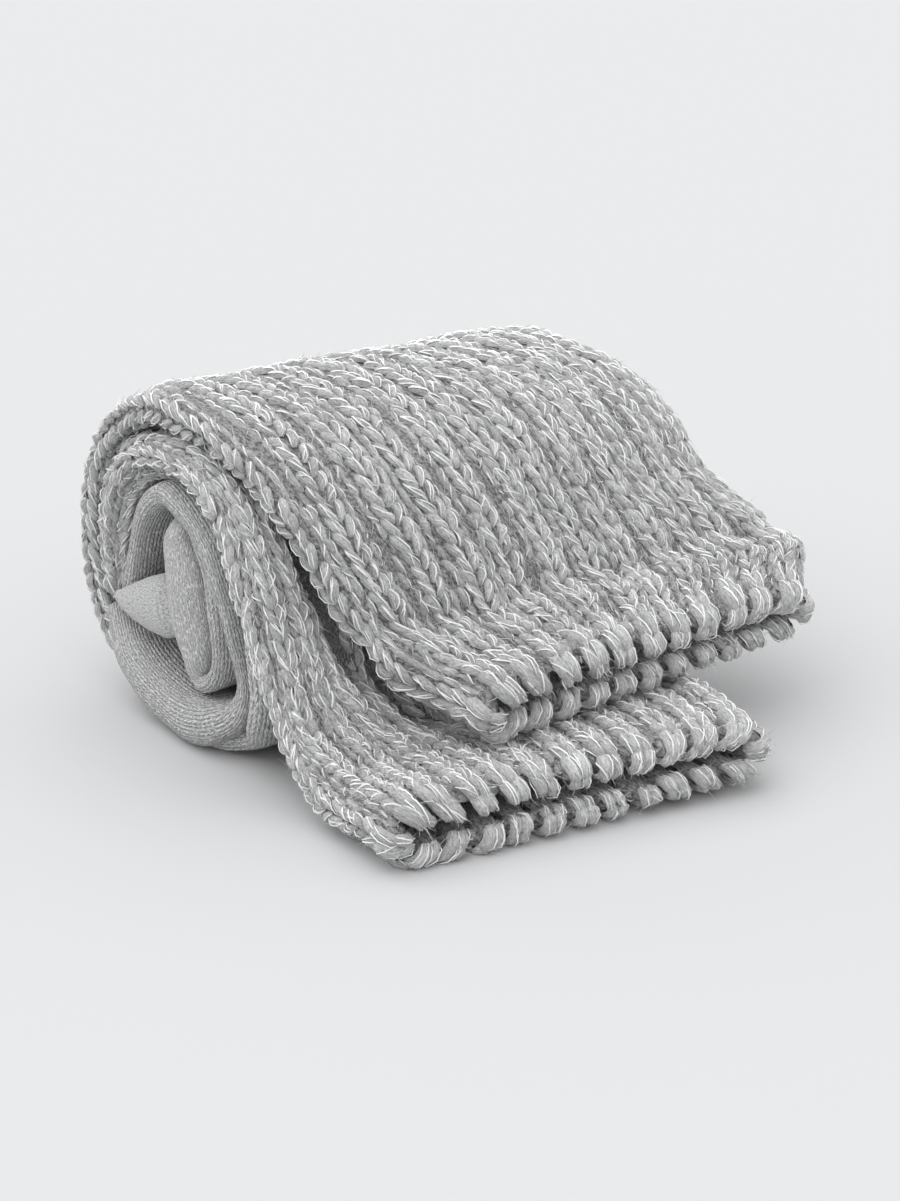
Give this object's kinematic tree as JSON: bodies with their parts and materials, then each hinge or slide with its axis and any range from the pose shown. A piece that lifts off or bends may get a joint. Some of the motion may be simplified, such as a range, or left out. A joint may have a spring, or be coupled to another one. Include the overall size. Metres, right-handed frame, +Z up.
{
  "type": "pair of boot socks",
  "caption": "Pair of thick ribbed knit boot socks, laid together and rolled up from the toes, with both cuffs lying out in front.",
  "frame": {"origin": "middle of the pair's bounding box, on the surface it lies on", "axes": "+X towards the cuff mouths, +Y along the roll, away from its end that faces the viewer, +Z up"},
  "size_m": [0.1544, 0.1506, 0.0883],
  "materials": {
    "upper_rib": "matt",
    "lower_rib": "matt",
    "foot_knit": "matt"
  },
  "bodies": {
    "root": {"upper_sock": "upper_rib", "lower_sock": "lower_rib", "rolled_feet": "foot_knit"}
  },
  "joints": []
}
